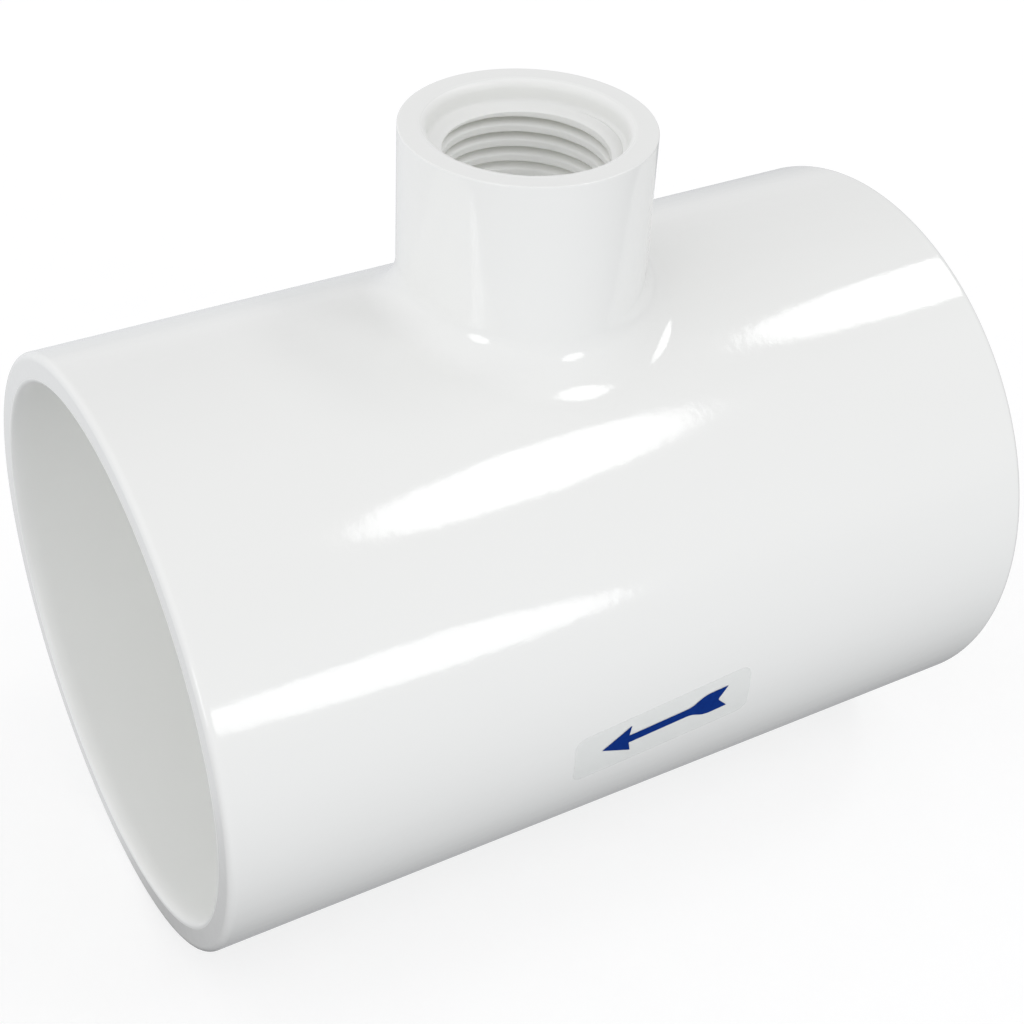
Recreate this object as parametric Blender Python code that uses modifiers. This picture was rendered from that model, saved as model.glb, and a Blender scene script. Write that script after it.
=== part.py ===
"""Reducing tee in white PVC: solvent-cement sockets for 63 mm pipe on the run, branch with a
1/2 inch female pipe thread, and a clear film label with a printed flow arrow.

Metres, +Z up. The run lies along X, the branch points up, the label faces -Y.
The origin is on the ground, straight under the crossing of the two axes.
"""

import math

import bmesh
import bpy
from mathutils import Matrix

# ---------------------------------------------------------------- driving dimensions
MM = 0.001

RUN_OD = 71.0 * MM  # outside of the run
RUN_LENGTH = 105.2 * MM  # face to face
RUN_EDGE = 0.8 * MM  # round on the outer edge of each end
SOCKET_MOUTH_D = 63.4 * MM  # slightly tapered socket for 63 mm pipe, at the mouth
SOCKET_BOTTOM_D = 63.0 * MM  # and at the pipe stop
SOCKET_DEPTH = 37.5 * MM
LEAD_IN = 0.75 * MM  # the mouth is this much wider all round, to lead the pipe in
LEAD_LENGTH = 2.3 * MM
RUN_BORE_D = 57.0 * MM  # waterway between the stops

BOSS_OD = 28.4 * MM
BOSS_TOP = 55.5 * MM  # rim above the run's axis
BOSS_EDGE = 0.4 * MM
FOOT_FILLET = 4.0 * MM  # boss to run
FOOT_LIP = 0.06 * MM  # the fillet ends this far above the run
FOOT_SINK = 3.0 * MM  # and its root goes this far into the wall

RECESS_D = 22.0 * MM  # clearance at the mouth of the thread
RECESS_EDGE = 1.0 * MM  # round from the rim into the recess
RECESS_DEPTH = 2.35 * MM
LIP_DEPTH = 3.0 * MM  # where the recess floor meets the thread
THREAD_PITCH = 25.4 / 14 * MM  # 14 turns to the inch
THREAD_MINOR_D = 18.5 * MM  # at the lip
THREAD_HEIGHT = 1.17 * MM
THREAD_TAPER = 1 / 32  # of radius, per unit of depth
THREAD_PHASE = 0.28 * MM  # makes the lip a crest at the back of the branch
THREAD_END = 18.6 * MM  # depth where the last turn has faded out
BRANCH_BORE_D = 17.0 * MM

LABEL_GAP = 0.10 * MM  # film to nominal run surface
FILM_THICK = 0.10 * MM
INK_GAP = 0.04 * MM
INK_THICK = 0.06 * MM
LABEL_TILT = math.radians(5.1)  # hand-applied: the tail end sits higher
LABEL_X = -7.3 * MM  # arrow tip along the run
LABEL_ANGLE = math.radians(97.3)  # arrow tip, from the top of the run towards -Y
FILM_U = (-3.6 * MM, 20.1 * MM)  # film along the arrow, from the tip
FILM_V = (-4.2 * MM, 3.5 * MM)  # film across the arrow
FILM_CORNER = 1.3 * MM
ARROW_LENGTH = 16.95 * MM
ARROW_HEAD = (3.5 * MM, 2.2 * MM)  # length, half width
ARROW_BARB = 0.35 * MM  # the barbs sweep back this far
ARROW_SHAFT = 0.62 * MM  # half width
ARROW_FLETCH = (4.9 * MM, 1.70 * MM)  # length, half width
ARROW_FLARE = 2.0 * MM  # the fletching widens over this length
ARROW_NOTCH = 1.3 * MM
BEND_STEP = math.radians(1.25)  # the label is creased this finely to lie round the run

RUN_SIDES = 72
BOSS_SIDES = 48
RINGS_PER_TURN = 4

RUN_R = RUN_OD / 2
AXIS_Z = RUN_R
HALF = RUN_LENGTH / 2


# ---------------------------------------------------------------- scene
for old in list(bpy.data.objects):
    bpy.data.objects.remove(old, do_unlink=True)

parts = bpy.data.collections.new("pvc_tee_fitting")
cutters = bpy.data.collections.new("tee_cutters")
for collection in (parts, cutters):
    bpy.context.scene.collection.children.link(collection)

root = bpy.data.objects.new("pvc_tee", None)
parts.objects.link(root)


def material(name, colour, roughness, metallic=0.0):
    made = bpy.data.materials.new(name)
    made.use_nodes = True
    shader = made.node_tree.nodes["Principled BSDF"]
    shader.inputs["Base Color"].default_value = (*colour, 1.0)
    shader.inputs["Roughness"].default_value = roughness
    shader.inputs["Metallic"].default_value = metallic
    return made


WHITE_PVC = material("white_pvc", (0.84, 0.85, 0.86), 0.16)
CLEAR_FILM = material("clear_film", (0.74, 0.78, 0.77), 0.12)
BLUE_INK = material("blue_ink", (0.008, 0.030, 0.26), 0.35)


def arc(centre, radius, start, end, steps):
    """Points (radius from the axis, height) round a corner, angles in degrees."""
    return [
        (
            centre[0] + radius * math.cos(math.radians(start + (end - start) * i / steps)),
            centre[1] + radius * math.sin(math.radians(start + (end - start) * i / steps)),
        )
        for i in range(steps + 1)
    ]


def evaluated_mesh(obj):
    bpy.context.view_layer.update()
    graph = bpy.context.evaluated_depsgraph_get()
    return bpy.data.meshes.new_from_object(obj.evaluated_get(graph))


def turned(name, profile, sides, placed, collection):
    """A solid turned about its own Z from (radius, height) points, top to bottom."""
    mesh = bpy.data.meshes.new(name)
    shape = bmesh.new()
    points = [shape.verts.new((r, 0.0, z)) for r, z in profile]
    for a, b in zip(points, points[1:]):
        shape.edges.new((a, b))
    shape.to_mesh(mesh)
    shape.free()
    blank = bpy.data.objects.new(name, mesh)
    collection.objects.link(blank)
    screw = blank.modifiers.new("turn", "SCREW")
    screw.axis = "Z"
    screw.angle = 2 * math.pi
    screw.steps = screw.render_steps = sides
    screw.use_merge_vertices = True
    screw.merge_threshold = 0.00001
    screw.use_smooth_shade = True
    solid = evaluated_mesh(blank)
    bpy.data.objects.remove(blank, do_unlink=True)
    bpy.data.meshes.remove(mesh)
    solid.name = name
    obj = bpy.data.objects.new(name, solid)
    obj.matrix_world = placed
    collection.objects.link(obj)
    return obj


def as_helper(obj):
    obj.hide_render = True
    obj.display_type = "WIRE"
    return obj


def boolean(obj, operation, other):
    cut = obj.modifiers.new(f"{operation.lower()}_{other.name}", "BOOLEAN")
    cut.operation = operation
    cut.object = other
    cut.solver = "EXACT"


# ---------------------------------------------------------------- tee body
# The run is turned about Z and laid along X, with flats at the bottom, top and sides.
# Its sides are drawn round the true circle, so that the flats lie on the true diameter.
LAID = (
    Matrix.Translation((0, 0, AXIS_Z))
    @ Matrix.Rotation(math.pi / 2, 4, "Y")
    @ Matrix.Rotation(math.pi / RUN_SIDES, 4, "Z")
)
UPRIGHT = Matrix.Translation((0, 0, AXIS_Z))
ROUND = 1 / math.cos(math.pi / RUN_SIDES)


def run_blank():
    r = RUN_R * ROUND
    top = arc((r - RUN_EDGE, HALF - RUN_EDGE), RUN_EDGE, 90, 0, 4)
    return [(0, HALF), *top, *[(a, -z) for a, z in reversed(top)], (0, -HALF)]


def run_waterway():
    mouth, bottom, bore = SOCKET_MOUTH_D / 2, SOCKET_BOTTOM_D / 2, RUN_BORE_D / 2
    stop = HALF - SOCKET_DEPTH
    upper = [
        (0, HALF + 2 * MM),
        (mouth + LEAD_IN, HALF + 2 * MM),
        (mouth + LEAD_IN, HALF),
        (mouth, HALF - LEAD_LENGTH),
        (bottom, stop),
        (bore, stop),
    ]
    return upper + [(r, -z) for r, z in reversed(upper)]


def boss_blank():
    r = BOSS_OD / 2
    rim = arc((r - BOSS_EDGE, BOSS_TOP - BOSS_EDGE), BOSS_EDGE, 90, 0, 2)
    crown = RUN_R
    foot = arc((r + FOOT_FILLET, crown + FOOT_FILLET), FOOT_FILLET, 180, 270, 6)
    foot[-1] = (foot[-1][0], crown + FOOT_LIP)
    return [
        (0, BOSS_TOP),
        *rim,
        *foot,
        (r + FOOT_FILLET, crown - FOOT_SINK),
        (0, crown - FOOT_SINK),
    ]


def saddle(y):
    """How far the run's surface has dropped from its crown at this distance from the middle."""
    return RUN_R - math.sqrt(RUN_R * RUN_R - y * y)


def branch_waterway():
    """The space inside the branch: recess with a sloping floor, blank for the thread, plain bore."""
    recess, lip = RECESS_D / 2, THREAD_MINOR_D / 2
    bore = BRANCH_BORE_D / 2
    edge = arc((recess + RECESS_EDGE, BOSS_TOP - RECESS_EDGE), RECESS_EDGE, 90, 180, 3)
    rings = round((THREAD_END - LIP_DEPTH) / THREAD_PITCH * RINGS_PER_TURN)
    wall = [
        (lip, BOSS_TOP - LIP_DEPTH - (THREAD_END - LIP_DEPTH) * i / rings)
        for i in range(rings + 1)
    ]
    wall = [(r - (BOSS_TOP - LIP_DEPTH - z) * THREAD_TAPER, z) for r, z in wall]
    return [
        (0, BOSS_TOP + 2 * MM),
        (recess + RECESS_EDGE, BOSS_TOP + 2 * MM),
        *edge,
        (recess, BOSS_TOP - RECESS_DEPTH),
        *wall,
        (bore, BOSS_TOP - THREAD_END - 0.6 * MM),
        (bore, RUN_BORE_D / 2 - 8 * MM),
        (0, RUN_BORE_D / 2 - 8 * MM),
    ]


def cut_thread(mesh):
    """Moves the blank's wall out to a right-hand V thread that starts at the lip and fades out at its end."""
    for vertex in mesh.vertices:
        x, y, z = vertex.co
        depth = BOSS_TOP - z
        r = math.hypot(x, y)
        if r < 1e-6 or not LIP_DEPTH + 1e-6 < depth < THREAD_END - 1e-6:
            continue
        turn = (z - THREAD_PHASE) / THREAD_PITCH - math.atan2(y, x) / (2 * math.pi)
        v = abs(2 * (turn % 1.0) - 1)
        fade = min(1.0, (THREAD_END - depth) / (1.5 * THREAD_PITCH))
        wide = (r + THREAD_HEIGHT * v * fade) / r
        vertex.co = (x * wide, y * wide, z)


run = turned("run_blank", run_blank(), RUN_SIDES, LAID, cutters)
run_bore = turned("run_waterway", run_waterway(), RUN_SIDES, LAID, cutters)
boss = turned("boss_blank", boss_blank(), BOSS_SIDES, UPRIGHT, cutters)
for vertex in boss.data.vertices:
    if vertex.co.z < RUN_R + FOOT_FILLET + 1e-6:
        vertex.co.z -= saddle(vertex.co.y)
branch_bore = turned("branch_waterway", branch_waterway(), BOSS_SIDES, UPRIGHT, cutters)
cut_thread(branch_bore.data)

boolean(run, "UNION", boss)
boolean(run, "DIFFERENCE", run_bore)
boolean(run, "DIFFERENCE", branch_bore)

body_mesh = evaluated_mesh(run)
body_mesh.name = "tee_body"
body_mesh.transform(run.matrix_world)
tidy = bmesh.new()
tidy.from_mesh(body_mesh)
bmesh.ops.triangulate(tidy, faces=tidy.faces[:])
bmesh.ops.recalc_face_normals(tidy, faces=tidy.faces[:])
tidy.to_mesh(body_mesh)
tidy.free()
body_mesh.shade_smooth()
body_mesh.set_sharp_from_angle(angle=math.radians(28))
body_mesh.materials.clear()
body_mesh.materials.append(WHITE_PVC)
tee_body = bpy.data.objects.new("tee_body", body_mesh)
parts.objects.link(tee_body)
tee_body.parent = root

for helper in (run, run_bore, boss, branch_bore):
    as_helper(helper)


# ---------------------------------------------------------------- label
def film_outline():
    """Rounded rectangle, in (along, across) from the arrow's tip."""
    outline = []
    corners = (
        (FILM_U[1], FILM_V[1], 0),
        (FILM_U[0], FILM_V[1], 90),
        (FILM_U[0], FILM_V[0], 180),
        (FILM_U[1], FILM_V[0], 270),
    )
    for u, v, start in corners:
        inward_u = -1 if u > 0 else 1
        inward_v = -1 if v > 0 else 1
        centre = (u + inward_u * FILM_CORNER, v + inward_v * FILM_CORNER)
        outline += arc(centre, FILM_CORNER, start, start + 90, 4)
    return outline


def arrow_outline():
    """Plain flow arrow with a barbed head and a notched, fletched tail. Its tip is at the origin."""
    head, wide = ARROW_HEAD
    tail, feather = ARROW_FLETCH
    start = ARROW_LENGTH - tail
    upper = [
        (head + ARROW_BARB, wide),
        (head, ARROW_SHAFT),
        (start, ARROW_SHAFT),
        (start + ARROW_FLARE * 0.55, ARROW_SHAFT + (feather - ARROW_SHAFT) * 0.62),
        (start + ARROW_FLARE, feather),
        (ARROW_LENGTH, feather),
    ]
    lower = [(u, -v) for u, v in reversed(upper)]
    return [(0, 0), *upper, (ARROW_LENGTH - ARROW_NOTCH, 0), *lower]


def on_run(u, v, radius):
    """A point of the label, wrapped round the run at this distance from its axis."""
    x = LABEL_X + u * math.cos(LABEL_TILT) - v * math.sin(LABEL_TILT)
    up = u * math.sin(LABEL_TILT) + v * math.cos(LABEL_TILT)
    angle = LABEL_ANGLE - up / RUN_R
    return (x, -radius * math.sin(angle), AXIS_Z + radius * math.cos(angle))


def wrapped(name, outline, inner, thick, finish):
    """A flat outline with a thickness, creased along the run and wrapped round it."""
    curve = bpy.data.curves.new(name, "CURVE")
    curve.dimensions = "2D"
    curve.fill_mode = "BOTH"
    curve.extrude = thick / 2
    spline = curve.splines.new("POLY")
    spline.points.add(len(outline) - 1)
    for point, (u, v) in zip(spline.points, outline):
        point.co = (u, v, 0, 1)
    spline.use_cyclic_u = True
    flat = bpy.data.objects.new(name + "_flat", curve)
    parts.objects.link(flat)
    mesh = evaluated_mesh(flat)
    bpy.data.objects.remove(flat, do_unlink=True)
    bpy.data.curves.remove(curve)

    sheet = bmesh.new()
    sheet.from_mesh(mesh)
    bmesh.ops.remove_doubles(sheet, verts=sheet.verts[:], dist=thick / 10)
    # Creases follow the run's length, so they lie askew on the tilted label.
    across = (math.sin(LABEL_TILT), math.cos(LABEL_TILT), 0)
    reach = [v.co.x * across[0] + v.co.y * across[1] for v in sheet.verts]
    step = RUN_R * BEND_STEP
    for i in range(math.floor(min(reach) / step) + 1, math.ceil(max(reach) / step)):
        bmesh.ops.bisect_plane(
            sheet,
            geom=sheet.verts[:] + sheet.edges[:] + sheet.faces[:],
            dist=1e-7,
            plane_co=(across[0] * i * step, across[1] * i * step, 0),
            plane_no=across,
        )
    bmesh.ops.triangulate(sheet, faces=sheet.faces[:])
    for vertex in sheet.verts:
        u, v, w = vertex.co
        vertex.co = on_run(u, v, inner + thick / 2 + w)
    bmesh.ops.recalc_face_normals(sheet, faces=sheet.faces[:])
    if sheet.calc_volume(signed=True) < 0:
        bmesh.ops.reverse_faces(sheet, faces=sheet.faces[:])
    sheet.to_mesh(mesh)
    sheet.free()
    mesh.name = name
    mesh.shade_smooth()
    mesh.set_sharp_from_angle(angle=math.radians(28))
    mesh.materials.clear()
    mesh.materials.append(finish)
    obj = bpy.data.objects.new(name, mesh)
    parts.objects.link(obj)
    obj.parent = root
    return obj


film_inner = RUN_R + LABEL_GAP
ink_inner = film_inner + FILM_THICK + INK_GAP
wrapped("label_film", film_outline(), film_inner, FILM_THICK, CLEAR_FILM)
wrapped("flow_arrow", arrow_outline(), ink_inner, INK_THICK, BLUE_INK)
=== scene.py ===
"""White PVC reducing tee, 63 mm x 1/2 inch, with a film label and a flow arrow.

Lengths in the shape code are millimetres, measured from the crossing of the run's axis (X) and
the branch's axis (Z). They become metres in the row frame, whose ground is 35.5 mm below that.
"""

import math

import bmesh
import bpy
import numpy as np
from mathutils import Matrix, Vector
from mathutils.geometry import tessellate_polygon


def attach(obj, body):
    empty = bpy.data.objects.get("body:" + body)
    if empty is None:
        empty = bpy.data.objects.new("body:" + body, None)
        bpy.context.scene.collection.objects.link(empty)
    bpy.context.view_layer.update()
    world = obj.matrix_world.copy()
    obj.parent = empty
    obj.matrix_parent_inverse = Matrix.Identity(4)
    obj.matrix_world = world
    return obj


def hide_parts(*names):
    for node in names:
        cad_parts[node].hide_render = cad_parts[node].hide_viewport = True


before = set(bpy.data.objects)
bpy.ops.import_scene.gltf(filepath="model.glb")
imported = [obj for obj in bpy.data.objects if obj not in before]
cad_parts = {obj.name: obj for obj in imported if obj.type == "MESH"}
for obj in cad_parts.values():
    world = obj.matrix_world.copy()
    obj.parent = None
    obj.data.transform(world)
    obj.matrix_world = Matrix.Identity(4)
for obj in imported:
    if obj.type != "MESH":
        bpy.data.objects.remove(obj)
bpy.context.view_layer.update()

# ---------------------------------------------------------------- sizes

MM = 0.001
RUN_R = 35.5
HALF = 52.6
RUN_EDGE = 0.8
LEAD_IN = 0.8  # the mouth of each socket is this much wider
LEAD_LENGTH = 2.2  # and narrows over this length
SOCKET_R = (31.7, 31.5)  # behind the mouth, at the stop
STOP_X = 15.1
STOP_ROUND = (0.6, 0.5)  # in the corner, on the edge
BORE_R = 28.5

BOSS_R = 14.2
BOSS_TOP = 55.5
BOSS_EDGE = 0.15
FOOT_FILLET = 4.0
RECESS_R = 11.0
RECESS_EDGE = 1.0
RECESS_DEPTH = 2.35
RECESS_CORNER = 0.45
LIP_R = 9.25
LIP_DEPTH = 3.0
PITCH = 25.4 / 14
THREAD_HEIGHT = 1.4
THREAD_TAPER = 1 / 32
THREAD_PHASE = 0.28  # lifts the turns to where the lip is a crest at the back
THREAD_END = 18.6
BRANCH_R = 8.5
BRANCH_EXIT = 0.8

LABEL_TILT = math.radians(5.1)
LABEL_X = -7.3
LABEL_ANGLE = math.radians(97.3)

# ---------------------------------------------------------------- mesh helpers

NP = 216  # columns round the run
K = 48  # cells along each side of the square patch that holds the branch
M = 4 * K  # points round the branch


class Skin:
    """Points and quads, gathered ring by ring."""

    def __init__(self):
        self.points = []
        self.quads = []
        self.count = 0

    def ring(self, x, y, z):
        xyz = np.stack(np.broadcast_arrays(x, y, z), axis=-1).astype(float).reshape(-1, 3)
        self.points.append(xyz)
        index = np.arange(self.count, self.count + len(xyz))
        self.count += len(xyz)
        return index

    def band(self, a, b):
        """Quads between two closed rings of the same length."""
        self.quads.append(np.stack([a, np.roll(a, -1), np.roll(b, -1), b], axis=1))

    def chain(self, rings):
        for a, b in zip(rings, rings[1:]):
            self.band(a, b)

    def cells(self, grid, keep):
        """Quads of a grid that closes on itself along its second axis."""
        right = np.roll(grid, -1, axis=1)
        quads = np.stack([grid[:-1], right[:-1], right[1:], grid[1:]], axis=-1)
        self.quads.append(quads[keep])

    def mesh(self, name):
        points = np.concatenate(self.points)
        points[:, 2] += RUN_R
        quads = np.concatenate(self.quads)
        return mesh_from(name, points * MM, quads)


def mesh_from(name, points, faces):
    mesh = bpy.data.meshes.new(name)
    mesh.from_pydata(np.asarray(points).tolist(), [], [list(map(int, f)) for f in faces])
    bm = bmesh.new()
    bm.from_mesh(mesh)
    bmesh.ops.delete(bm, geom=[v for v in bm.verts if not v.link_faces], context="VERTS")
    bmesh.ops.recalc_face_normals(bm, faces=bm.faces[:])
    if bm.calc_volume(signed=True) < 0:
        bmesh.ops.reverse_faces(bm, faces=bm.faces[:])
    assert all(len(e.link_faces) == 2 for e in bm.edges), name
    bm.to_mesh(mesh)
    bm.free()
    mesh.shade_smooth()
    return mesh


def piece(name, mesh, node, material):
    obj = bpy.data.objects.new(name, mesh)
    bpy.context.scene.collection.objects.link(obj)
    mesh.materials.append(material)
    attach(obj, "root")
    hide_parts(node)
    return obj


def steps(n, first=False):
    """n even steps from 0 to 1, without the 0 unless it is asked for."""
    return np.linspace(0, 1, n + 1)[0 if first else 1 :]


def ease(t):
    t = np.clip(t, 0, 1)
    return t * t * (3 - 2 * t)


def filleted(points, radii, segments=6):
    """Open profile with a circular arc of the given radius at each inner corner."""
    out = [np.array(points[0], float)]
    for i, radius in enumerate(radii, 1):
        p, a, b = (np.array(points[k], float) for k in (i, i - 1, i + 1))
        a, b = (a - p) / np.linalg.norm(a - p), (b - p) / np.linalg.norm(b - p)
        half = math.acos(np.clip(a @ b, -1, 1)) / 2
        centre = p + (a + b) / np.linalg.norm(a + b) * radius / math.sin(half)
        start, end = p + a * radius / math.tan(half) - centre, p + b * radius / math.tan(half) - centre
        sweep = math.pi - 2 * half
        for t in np.linspace(0, 1, segments + 1):
            out.append(centre + (start * math.sin((1 - t) * sweep) + end * math.sin(t * sweep)) / math.sin(sweep))
    out.append(np.array(points[-1], float))
    return out


def spaced(profile, longest, keep=0.08):
    """Adds points on the straight runs: one close to each end, and more where they are long."""
    out = [profile[0]]
    for p, q in zip(profile, profile[1:]):
        length = np.linalg.norm(q - p)
        if length > 4 * keep:
            inner = max(1, math.ceil((length - 2 * keep) / longest))
            for t in np.linspace(keep / length, 1 - keep / length, inner + 1):
                out.append(p + (q - p) * t)
        if length > 1e-9:
            out.append(q)
    return out


# ---------------------------------------------------------------- the moulding


def patch(skin, radius, half_x, columns):
    """Grid on a cylinder along X with a square hole at its top, and the hole's rim in order.

    half_x: ascending x of the rows, from the hole's edge outwards.
    """
    inner = np.linspace(-half_x[0], half_x[0], K + 1)
    rows = np.concatenate([-half_x[:0:-1], inner, half_x[1:]])
    psi = (np.arange(NP) - NP // 2) * 2 * math.pi / NP
    x, p = np.meshgrid(rows, psi, indexing="ij")
    grid = skin.ring(x, radius * np.sin(p), radius * np.cos(p)).reshape(x.shape)
    ia, ja = len(half_x) - 1, NP // 2 - columns
    ib, jb = ia + K, NP // 2 + columns
    keep = np.ones((len(rows) - 1, NP), bool)
    keep[ia:ib, ja:jb] = False
    skin.cells(grid, keep)
    rim = [(ib, j) for j in range(ja, jb)]
    rim += [(i, jb) for i in range(ib, ia, -1)]
    rim += [(ia, j) for j in range(jb, ja, -1)]
    rim += [(i, ja) for i in range(ia, ib)]
    i, j = np.array(rim).T
    return grid, grid[i, j], rows[i], psi[j]


theta = math.radians(-45) + np.arange(M) * 2 * math.pi / M
cos_t, sin_t = np.cos(theta), np.sin(theta)


def saddle(skin, radius, circle, rim, rim_x, rim_psi, count):
    """Rings from a patch's square rim to a circle of the branch, on the same cylinder."""
    to_x = circle * cos_t
    to_psi = np.arcsin(circle * sin_t / radius)
    rings = [rim]
    for t in steps(count):
        x = rim_x + (to_x - rim_x) * t
        p = rim_psi + (to_psi - rim_psi) * t
        rings.append(skin.ring(x, radius * np.sin(p), radius * np.cos(p)))
    return rings


def thread_radius(depth):
    """Wall of the branch, depth below the rim, at every theta: a right-hand taper thread.

    The thread runs out through the sloping floor of the recess.
    """
    turn = (BOSS_TOP - depth - THREAD_PHASE) / PITCH - theta / (2 * math.pi)
    v = np.abs(2 * (turn % 1) - 1)
    # A V between broad crests, with soft corners: 0 on the crest, 1 at the root.
    groove = 0.5 * ease((v - 0.38) / 0.60) + 0.5 * np.clip((v - 0.44) / 0.50, 0, 1)
    end = ease((THREAD_END - depth) / (1.6 * PITCH))
    crest = LIP_R - (depth - LIP_DEPTH) * THREAD_TAPER
    thread = BRANCH_R + (crest - BRANCH_R) * end + THREAD_HEIGHT * groove * end
    floor = LIP_R + (LIP_DEPTH - depth) * (RECESS_R - LIP_R) / (LIP_DEPTH - RECESS_DEPTH)
    return 0.5 * (thread + floor + np.sqrt((thread - floor) ** 2 + 0.03**2))


def tee_mesh():
    skin = Skin()

    # Outside of the run, with the boss on its patch.
    row_x = np.append(np.linspace(26, HALF - RUN_EDGE - 0.15, 20), HALF - RUN_EDGE)
    outside, rim, rim_x, rim_psi = patch(skin, RUN_R, row_x, K // 2)
    foot = BOSS_R + FOOT_FILLET
    chain = saddle(skin, RUN_R, foot, rim, rim_x, rim_psi, 8)

    # Fillet at the foot of the boss, then the boss.
    for t in steps(14):
        a = t * math.pi / 2
        r = foot - FOOT_FILLET * math.sin(a)
        lift = FOOT_FILLET * (1 - math.cos(a))
        z = np.sqrt(RUN_R**2 - (r * sin_t) ** 2) + lift
        chain.append(skin.ring(r * cos_t, r * sin_t, z))
    low = np.sqrt(RUN_R**2 - (BOSS_R * sin_t) ** 2) + FOOT_FILLET
    high = BOSS_TOP - BOSS_EDGE
    for t in (*np.linspace(0.08, 0.99, 12), 1):
        chain.append(skin.ring(BOSS_R * cos_t, BOSS_R * sin_t, low + (high - low) * t))

    def turned(r, depth):
        chain.append(skin.ring(r * cos_t, r * sin_t, BOSS_TOP - depth))

    # Rim and recess, as (radius, depth).
    mouth = filleted(
        [
            (BOSS_R, BOSS_EDGE + 0.1),
            (BOSS_R, 0),
            (RECESS_R, 0),
            (RECESS_R, RECESS_DEPTH),
            (LIP_R, LIP_DEPTH),
        ],
        [BOSS_EDGE, RECESS_EDGE, RECESS_CORNER],
        8,
    )
    for r, depth in spaced(mouth[2:-1], 0.5):
        turned(r, depth)

    # Floor of the recess and the thread in it, then the plain bore below.
    top, lip = mouth[-2][1] + 0.03, LIP_DEPTH + 0.2
    count = int((THREAD_END - lip) / PITCH * 16)
    for depth in (*np.linspace(top, lip, 22), *(lip + (THREAD_END - lip) * steps(count))):
        turned(thread_radius(depth), depth)
    low = np.sqrt(BORE_R**2 - (BRANCH_R * sin_t) ** 2) + BRANCH_EXIT
    for t in steps(8):
        z = (BOSS_TOP - THREAD_END) * (1 - t) + low * t
        chain.append(skin.ring(BRANCH_R * cos_t, BRANCH_R * sin_t, z))
    for t in steps(7):
        a = t * math.pi / 2
        r = BRANCH_R + BRANCH_EXIT * (1 - math.cos(a))
        z = np.sqrt(BORE_R**2 - (r * sin_t) ** 2) + BRANCH_EXIT * (1 - math.sin(a))
        chain.append(skin.ring(r * cos_t, r * sin_t, z))

    # Waterway of the run, with the branch on its patch.
    corner, edge = STOP_ROUND
    inner_x = np.linspace(12, STOP_X - edge, 4)
    inside, in_rim, in_x, in_psi = patch(skin, BORE_R, inner_x, K // 2)
    back = saddle(skin, BORE_R, BRANCH_R + BRANCH_EXIT, in_rim, in_x, in_psi, 8)
    chain += back[-2::-1]
    skin.chain(chain)

    # Both ends, as (radius, x): edge, face, rounded mouth, socket and stop.
    edge_on = filleted(
        [(RUN_R, HALF - RUN_EDGE - 0.1), (RUN_R, HALF), (SOCKET_R[0] + LEAD_IN, HALF)],
        [RUN_EDGE],
        8,
    )
    lead = [
        (SOCKET_R[0] + LEAD_IN * (1 - math.sin(a)), HALF - LEAD_LENGTH * (1 - math.cos(a)))
        for a in steps(9) * math.pi / 2
    ]
    stop_on = filleted(
        [lead[-1], (SOCKET_R[1], STOP_X), (BORE_R, STOP_X), (BORE_R, STOP_X - edge - 0.1)],
        [corner, edge],
    )
    ends = spaced([*edge_on[2:], *map(np.array, lead), *stop_on[1:-2]], 2.8)
    psi = (np.arange(NP) - NP // 2) * 2 * math.pi / NP
    for side, first, last in ((-1, outside[0], inside[0]), (1, outside[-1], inside[-1])):
        rings = [skin.ring(side * x, r * np.sin(psi), r * np.cos(psi)) for r, x in ends]
        skin.chain([first, *rings, last])

    return skin.mesh("tee_moulding")


# ---------------------------------------------------------------- the label


def on_run(u, v, radius):
    """Label coordinates, along the arrow and across it, wrapped on the run."""
    x = LABEL_X + u * math.cos(LABEL_TILT) - v * math.sin(LABEL_TILT)
    up = u * math.sin(LABEL_TILT) + v * math.cos(LABEL_TILT)
    a = LABEL_ANGLE - up / RUN_R
    return (x, -radius * math.sin(a), RUN_R + radius * math.cos(a))


def rounded(points, radii, segments=6):
    """Closed outline with each corner turned into an arc-like curve of about that radius."""
    n, out = len(points), []
    for i in range(n):
        p, a, b = (np.array(points[k % n], float) for k in (i, i - 1, i + 1))
        to_a, to_b = a - p, b - p
        la, lb = np.linalg.norm(to_a), np.linalg.norm(to_b)
        cut = min(radii[i], 0.48 * la, 0.48 * lb)
        if cut <= 0:
            out.append(p)
            continue
        start, end = p + to_a / la * cut, p + to_b / lb * cut
        for t in np.linspace(0, 1, segments + 1):
            out.append((1 - t) ** 2 * start + 2 * t * (1 - t) * p + t * t * end)
    return out


def dense(outline, longest):
    out = []
    for p, q in zip(outline, outline[1:] + outline[:1]):
        n = max(1, math.ceil(np.linalg.norm(np.subtract(q, p)) / longest))
        out += [np.add(p, np.subtract(q, p) * k / n) for k in range(n)]
    return out


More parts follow.
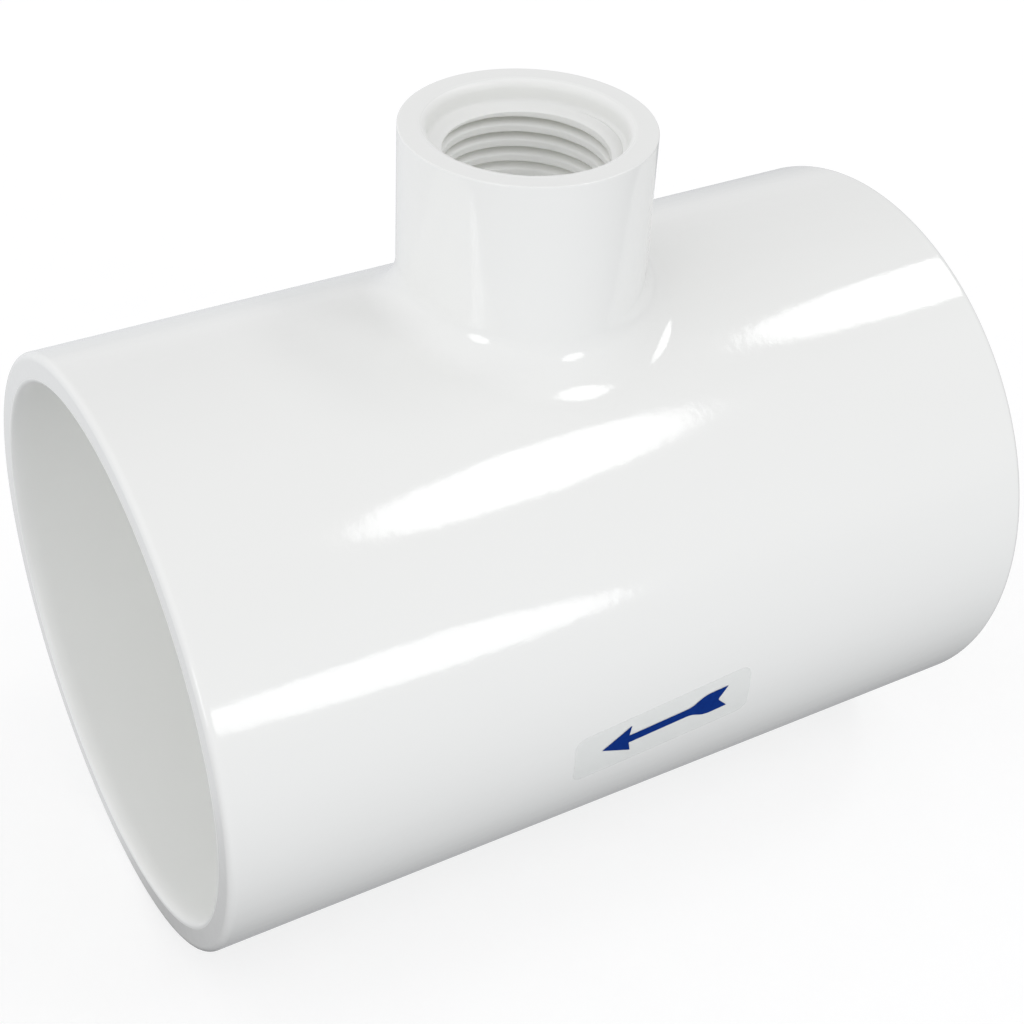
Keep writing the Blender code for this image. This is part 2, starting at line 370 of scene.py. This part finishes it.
def wrapped(name, outline, low, high, flare):
    """Thin closed layer on the run, with an edge that slopes down over the flare width."""
    flat = bmesh.new()
    corners = [flat.verts.new((p[0], p[1], 0)) for p in outline]
    for tri in tessellate_polygon([[Vector((p[0], p[1], 0)) for p in outline]]):
        if len(set(tri)) == 3:
            flat.faces.new([corners[k] for k in tri])
    bmesh.ops.recalc_face_normals(flat, faces=flat.faces[:])
    if sum(f.normal.z for f in flat.faces) < 0:
        bmesh.ops.reverse_faces(flat, faces=flat.faces[:])
    cut = (math.sin(LABEL_TILT), math.cos(LABEL_TILT), 0)
    for k in range(-24, 25):
        geometry = flat.verts[:] + flat.edges[:] + flat.faces[:]
        at = (k * 0.4 * cut[0], k * 0.4 * cut[1], 0)
        bmesh.ops.bisect_plane(flat, geom=geometry, plane_co=at, plane_no=cut, dist=1e-5)
    bmesh.ops.remove_doubles(flat, verts=flat.verts[:], dist=1e-4)
    flat.verts.index_update()
    top = [on_run(v.co.x, v.co.y, RUN_R + high) for v in flat.verts]
    faces = [[v.index for v in f.verts] for f in flat.faces]
    shift = {}
    edges = []
    for e in flat.edges:
        if len(e.link_loops) != 1:
            continue
        loop = e.link_loops[0]
        a, b = loop.vert, loop.link_loop_next.vert
        edges.append((a.index, b.index))
        along = (b.co - a.co).normalized()
        out = Vector((along.y, -along.x, 0))
        for v in (a, b):
            shift[v.index] = shift.get(v.index, Vector()) + out
    bottom = []
    for v in flat.verts:
        by = shift.get(v.index, Vector())
        co = v.co + (by.normalized() * flare if by.length else by)
        bottom.append(on_run(co.x, co.y, RUN_R + low))
    flat.free()
    n = len(top)
    faces += [[k + n for k in reversed(f)] for f in faces]
    faces += [[a, a + n, b + n, b] for a, b in edges]
    mesh = mesh_from(name, np.array(top + bottom) * MM, faces)
    mesh.set_sharp_from_angle(angle=math.radians(25))
    return mesh


def film_outline():
    box = [(20.1, -4.2), (20.1, 3.5), (-3.6, 3.5), (-3.6, -4.2)]
    return dense(rounded(box, [1.7] * 4, 10), 0.8)


def arrow_outline():
    upper = [(3.8, 2.2), (3.5, 0.62), (12.0, 0.62), (13.35, 1.45), (14.3, 1.72), (16.95, 1.70)]
    bend = [0.06, 0.1, 1.2, 0.5, 0.8, 0.05]
    points = [(0, 0), *upper, (15.65, 0), *[(u, -v) for u, v in reversed(upper)]]
    return dense(rounded(points, [0.06, *bend, 0.35, *reversed(bend)]), 0.5)


# ---------------------------------------------------------------- materials


class Nodes:
    def __init__(self, tree):
        self.tree = tree

    def new(self, kind, inputs=None, **settings):
        node = self.tree.nodes.new(kind)
        for key, value in settings.items():
            setattr(node, key, value)
        for key, value in (inputs or {}).items():
            socket = node.inputs[key]
            if isinstance(value, bpy.types.NodeSocket):
                self.tree.links.new(value, socket)
            else:
                socket.default_value = value
        return node

    def math(self, operation, a, b=0.0):
        return self.new("ShaderNodeMath", {0: a, 1: b}, operation=operation).outputs[0]

    def noise(self, vector, scale, detail=2.0, roughness=0.5):
        node = self.new(
            "ShaderNodeTexNoise",
            {"Vector": vector, "Scale": scale, "Detail": detail, "Roughness": roughness},
        )
        return node.outputs["Fac"]

    def span(self, value, low, high):
        return self.new("ShaderNodeMapRange", {"Value": value, "To Min": low, "To Max": high}).outputs[0]

    def step(self, value, low, high):
        """0 at low, 1 at high, smooth between."""
        node = self.new(
            "ShaderNodeMapRange",
            {"Value": value, "From Min": low, "From Max": high},
            interpolation_type="SMOOTHSTEP",
        )
        return node.outputs[0]

    def distance(self, vector, axes):
        """Length of a vector in the plane of the given axes."""
        flat = self.new("ShaderNodeVectorMath", {0: vector, 1: axes}, operation="MULTIPLY").outputs[0]
        return self.new("ShaderNodeVectorMath", {0: flat}, operation="LENGTH").outputs["Value"]

    def blend(self, factor, a, b):
        node = self.new("ShaderNodeMix", data_type="RGBA")
        for socket, value in ((node.inputs[0], factor), (node.inputs[6], a), (node.inputs[7], b)):
            if isinstance(value, bpy.types.NodeSocket):
                self.tree.links.new(value, socket)
            else:
                socket.default_value = value
        return node.outputs[2]


def new_material(name):
    material = bpy.data.materials.new(name)
    material.use_nodes = True
    material.node_tree.nodes.clear()
    nodes = Nodes(material.node_tree)
    shader = nodes.new("ShaderNodeBsdfPrincipled")
    output = nodes.new("ShaderNodeOutputMaterial")
    material.node_tree.links.new(shader.outputs[0], output.inputs["Surface"])
    return material, nodes, shader


def rgb(r, g, b):
    return (r, g, b, 1.0)


def white_pvc():
    material, n, shader = new_material("white_pvc")
    at = n.new("ShaderNodeTexCoord").outputs["Object"]
    # Resin flow: long faint clouds; handling: finer scuffs that dull the gloss in places.
    along = n.new("ShaderNodeMapping", {"Vector": at, "Scale": (18, 60, 60)}).outputs[0]
    cloud = n.noise(along, 1.0, 3.0, 0.55)
    scuff = n.noise(at, 260.0, 4.0, 0.6)
    colour = n.blend(cloud, rgb(0.902, 0.907, 0.888), rgb(0.922, 0.927, 0.910))
    # The cores leave a satin skin in the sockets and the branch; the cavity leaves a glossy one.
    run = n.new("ShaderNodeVectorMath", {0: at, 1: (0, 0, RUN_R * MM)}, operation="SUBTRACT").outputs[0]
    run = n.distance(run, (0, 1, 1))
    branch = n.distance(at, (1, 1, 0))
    height = n.new("ShaderNodeSeparateXYZ", {0: at}).outputs[2]
    hole = n.step(branch, 0.0124, 0.0112)
    inside = n.math("MULTIPLY", hole, n.step(height, 0.055, 0.060))
    inside = n.math("MAXIMUM", inside, n.step(run, 0.0330, 0.0324))
    # Painted light: the base colour is lighter deep in the branch. It stands for light that comes through the
    # wall of the boss, so the thread doesn't darken with depth.
    painted_light_deep = n.math("MULTIPLY", hole, n.step(height, 0.089, 0.079))
    colour = n.blend(painted_light_deep, colour, rgb(0.975, 0.977, 0.967))
    # Painted shade: the base colour is darker in the root of the thread, most of all in the upper turns.
    taper = n.math("MULTIPLY", n.math("SUBTRACT", (BOSS_TOP + RUN_R - LIP_DEPTH) * MM, height), THREAD_TAPER)
    root = n.step(n.math("ADD", branch, taper), (LIP_R + 0.35) * MM, (LIP_R + 1.25) * MM)
    root = n.math("MULTIPLY", root, n.step(height, 0.0884, 0.0878))
    root = n.math("MULTIPLY", root, n.math("SUBTRACT", hole, n.math("MULTIPLY", painted_light_deep, 0.8)))
    colour = n.blend(root, colour, rgb(0.76, 0.76, 0.73))
    n.tree.links.new(colour, shader.inputs["Base Color"])
    rough = n.math("ADD", n.span(cloud, 0.05, 0.09), n.span(scuff, -0.01, 0.02))
    rough = n.math("ADD", rough, n.math("MULTIPLY", inside, 0.27))
    n.tree.links.new(rough, shader.inputs["Roughness"])
    # Moulded skin: a slow waviness and a very fine orange peel.
    wave = n.noise(along, 2.6, 2.0, 0.5)
    peel = n.noise(at, 900.0, 2.0, 0.5)
    relief = n.math("ADD", wave, n.math("MULTIPLY", peel, 0.2))
    bump = n.new("ShaderNodeBump", {"Height": relief, "Strength": 0.10, "Distance": 0.0004})
    n.tree.links.new(bump.outputs[0], shader.inputs["Normal"])
    shader.inputs["IOR"].default_value = 1.53
    return material


def clear_film():
    material, n, shader = new_material("clear_film")
    at = n.new("ShaderNodeTexCoord").outputs["Object"]
    haze = n.noise(at, 420.0, 3.0, 0.6)
    colour = n.blend(haze, rgb(0.83, 0.862, 0.850), rgb(0.86, 0.888, 0.878))
    n.tree.links.new(colour, shader.inputs["Base Color"])
    n.tree.links.new(n.span(haze, 0.16, 0.30), shader.inputs["Roughness"])
    bump = n.new("ShaderNodeBump", {"Height": haze, "Strength": 0.08, "Distance": 0.0002})
    n.tree.links.new(bump.outputs[0], shader.inputs["Normal"])
    shader.inputs["Alpha"].default_value = 0.10
    return material


def blue_ink():
    material, n, shader = new_material("blue_ink")
    at = n.new("ShaderNodeTexCoord").outputs["Object"]
    grain = n.noise(at, 1500.0, 3.0, 0.6)
    colour = n.blend(grain, rgb(0.003, 0.020, 0.16), rgb(0.006, 0.044, 0.27))
    n.tree.links.new(colour, shader.inputs["Base Color"])
    n.tree.links.new(n.span(grain, 0.32, 0.46), shader.inputs["Roughness"])
    shader.inputs["Specular IOR Level"].default_value = 0.01
    bump = n.new("ShaderNodeBump", {"Height": grain, "Strength": 0.10, "Distance": 0.0001})
    n.tree.links.new(bump.outputs[0], shader.inputs["Normal"])
    return material


def pale_floor():
    material, n, shader = new_material("pale_floor")
    at = n.new("ShaderNodeTexCoord").outputs["Object"]
    paper = n.noise(at, 140.0, 4.0, 0.6)
    n.tree.links.new(n.blend(paper, rgb(0.38, 0.38, 0.38), rgb(0.40, 0.40, 0.40)), shader.inputs["Base Color"])
    shader.inputs["Roughness"].default_value = 0.9
    shader.inputs["Specular IOR Level"].default_value = 0.1
    shader.inputs["Emission Color"].default_value = rgb(1, 1, 1)
    shader.inputs["Emission Strength"].default_value = FLOOR_GLOW
    material.cycles.emission_sampling = "NONE"
    return material


# ---------------------------------------------------------------- light and camera

FLOOR_GLOW = 0.66

# Brightness of the surround: above and below the horizon, and what each direction
# (azimuth and elevation in degrees) adds to it.
SURROUND_UP = 0.347
SURROUND_DOWN = 0.1
SURROUND_LOBES = (
    (-90, 20, 0.130),
    (-150, 20, 0.068),
    (150, 20, 0.328),
    (90, 20, 0.074),
    (30, 20, 0.108),
    (180, 5, 0.289),
    (180, 55, 0.151),
    (0, 45, 0.126),
    (0, 90, 0.132),
    (-90, -30, 0.660),
    (-50, -30, 0.198),
    (90, -30, 0.687),
    (0, -90, -0.338),
)
TINT_UP = (1.0, 1.0, 1.014)
TINT_DOWN = (0.985, 1.0, 1.03)

# Soft round lamps: azimuth and elevation seen from the object, width and height across the view,
# tilt (all in degrees), and radiance.
LAMPS = (
    ("lamp_low", -71.0, 6.9, 17.5, 11.8, -40.0, 3.5),
    ("lamp_mid", -47.0, 51.9, 18.6, 11.3, 42.0, 4.0),
    ("lamp_high", -1.5, 51.0, 16.0, 12.0, -12.0, 4.2),
    ("lamp_left", -145.0, 6.0, 17.0, 20.0, 0.0, 3.5),
)
LAMP_DISTANCE = 3.0


def toward(azimuth, elevation):
    a, e = math.radians(azimuth), math.radians(elevation)
    return Vector((math.cos(a) * math.cos(e), math.sin(a) * math.cos(e), math.sin(e)))


def make_world():
    world = bpy.data.worlds.new("surround")
    bpy.context.scene.world = world
    world.use_nodes = True
    world.node_tree.nodes.clear()
    n = Nodes(world.node_tree)
    way = n.new("ShaderNodeTexCoord").outputs["Generated"]
    height = n.new("ShaderNodeSeparateXYZ", {0: way}).outputs[2]
    above = n.step(height, -0.15, 0.15)
    total = n.span(above, SURROUND_DOWN, SURROUND_UP)
    for azimuth, elevation, level in SURROUND_LOBES:
        axis = tuple(toward(azimuth, elevation))
        dot = n.new("ShaderNodeVectorMath", {0: way, 1: axis}, operation="DOT_PRODUCT").outputs["Value"]
        dot = n.math("MAXIMUM", dot, 0.0)
        total = n.math("ADD", total, n.math("MULTIPLY", n.math("MULTIPLY", dot, dot), level))
    tint = n.blend(above, rgb(*TINT_DOWN), rgb(*TINT_UP))
    light = n.new("ShaderNodeBackground", {"Color": tint, "Strength": total})
    # Behind the object the surround is plain white, like the floor.
    backdrop = n.new("ShaderNodeBackground", {"Color": rgb(1, 1, 1), "Strength": 1.0})
    seen = n.new("ShaderNodeLightPath").outputs["Is Camera Ray"]
    surface = n.new("ShaderNodeMixShader", {0: seen, 1: light.outputs[0], 2: backdrop.outputs[0]})
    output = n.new("ShaderNodeOutputWorld")
    world.node_tree.links.new(surface.outputs[0], output.inputs["Surface"])


def make_lamps():
    centre = Vector((0, 0, RUN_R * MM))
    for name, azimuth, elevation, wide, tall, tilt, radiance in LAMPS:
        way = toward(azimuth, elevation)
        level = Vector((0, 0, 1)).cross(way).normalized()
        side = Matrix.Rotation(math.radians(tilt), 3, way) @ level
        light = bpy.data.lights.new(name, "AREA")
        light.shape = "ELLIPSE"
        light.size, light.size_y = (2 * LAMP_DISTANCE * math.tan(math.radians(a / 2)) for a in (wide, tall))
        light.energy = radiance * math.pi * math.pi / 4 * light.size * light.size_y
        lamp = bpy.data.objects.new(name, light)
        bpy.context.scene.collection.objects.link(lamp)
        turn = Matrix((side, way.cross(side), way)).transposed().to_4x4()
        lamp.matrix_world = Matrix.Translation(centre + way * LAMP_DISTANCE) @ turn
        lamp.visible_camera = False


def make_floor():
    size = 3.0
    mesh = bpy.data.meshes.new("floor")
    corners = [(-size, -size, 0), (size, -size, 0), (size, size, 0), (-size, size, 0)]
    mesh.from_pydata(corners, [], [(0, 1, 2, 3)])
    mesh.materials.append(pale_floor())
    floor = bpy.data.objects.new("floor", mesh)
    bpy.context.scene.collection.objects.link(floor)
    floor.location.z = -0.0001
    floor.visible_diffuse = floor.visible_glossy = floor.visible_transmission = floor.visible_shadow = False


def make_painted_shadow():
    """Painted shade: a dull card on the ground before the near end, with soft edges and unseen by the camera; it
    stands for the ground's shadow there and shades the foot of the mouth.
    """
    material, n, shader = new_material("painted_shadow_paper")
    at = n.new("ShaderNodeTexCoord").outputs["Object"]
    paper = n.noise(at, 140.0, 4.0, 0.6)
    n.tree.links.new(n.blend(paper, rgb(0.14, 0.14, 0.15), rgb(0.16, 0.16, 0.17)), shader.inputs["Base Color"])
    x, y, _ = n.new("ShaderNodeSeparateXYZ", {0: at}).outputs
    soft = n.math("MULTIPLY", n.step(y, 0.011, -0.011), n.step(y, -0.068, -0.045))
    soft = n.math("MULTIPLY", soft, n.step(x, -0.148, -0.11))
    n.tree.links.new(soft, shader.inputs["Alpha"])
    shader.inputs["Roughness"].default_value = 0.9
    mesh = bpy.data.meshes.new("shade_sheet")
    corners = [(-0.15, -0.070, 0), (-0.050, -0.070, 0), (-0.050, 0.02, 0), (-0.15, 0.02, 0)]
    mesh.from_pydata(corners, [], [(0, 1, 2, 3)])
    mesh.materials.append(material)
    shade_sheet = bpy.data.objects.new("shade_sheet", mesh)
    bpy.context.scene.collection.objects.link(shade_sheet)
    shade_sheet.location.z = -0.0006
    shade_sheet.visible_camera = False


def make_camera():
    yaw, pitch, roll = (math.radians(a) for a in (31.69866, -37.72873, 3.21533))
    ahead = Vector((math.sin(yaw) * math.cos(pitch), math.cos(yaw) * math.cos(pitch), math.sin(pitch)))
    level = Vector((math.cos(yaw), -math.sin(yaw), 0))
    upright = level.cross(ahead)
    right = level * math.cos(roll) + upright * math.sin(roll)
    up = upright * math.cos(roll) - level * math.sin(roll)
    data = bpy.data.cameras.new("camera")
    data.sensor_width = 36.0
    data.lens = 36.0 * 1875.39 / 1024
    data.clip_start = 0.01
    camera = bpy.data.objects.new("camera", data)
    bpy.context.scene.collection.objects.link(camera)
    place = Matrix((right, up, -ahead)).transposed().to_4x4()
    camera.matrix_world = Matrix.Translation((-0.09688, -0.15799, 0.14605 + RUN_R * MM)) @ place
    bpy.context.scene.camera = camera


# ---------------------------------------------------------------- build

piece("tee_moulding", tee_mesh(), "tee_body", white_pvc())
piece("label_sheet", wrapped("label_sheet", film_outline(), 0.008, 0.05, 0.05), "label_film", clear_film())
piece("printed_arrow", wrapped("printed_arrow", arrow_outline(), 0.054, 0.075, 0.01), "flow_arrow", blue_ink())

make_world()
make_lamps()
make_floor()
make_painted_shadow()
make_camera()
bpy.context.scene.view_settings.view_transform = "Standard"
# White walls pass light on many times inside the sockets and the branch.
bpy.context.scene.cycles.max_bounces = bpy.context.scene.cycles.diffuse_bounces = 16
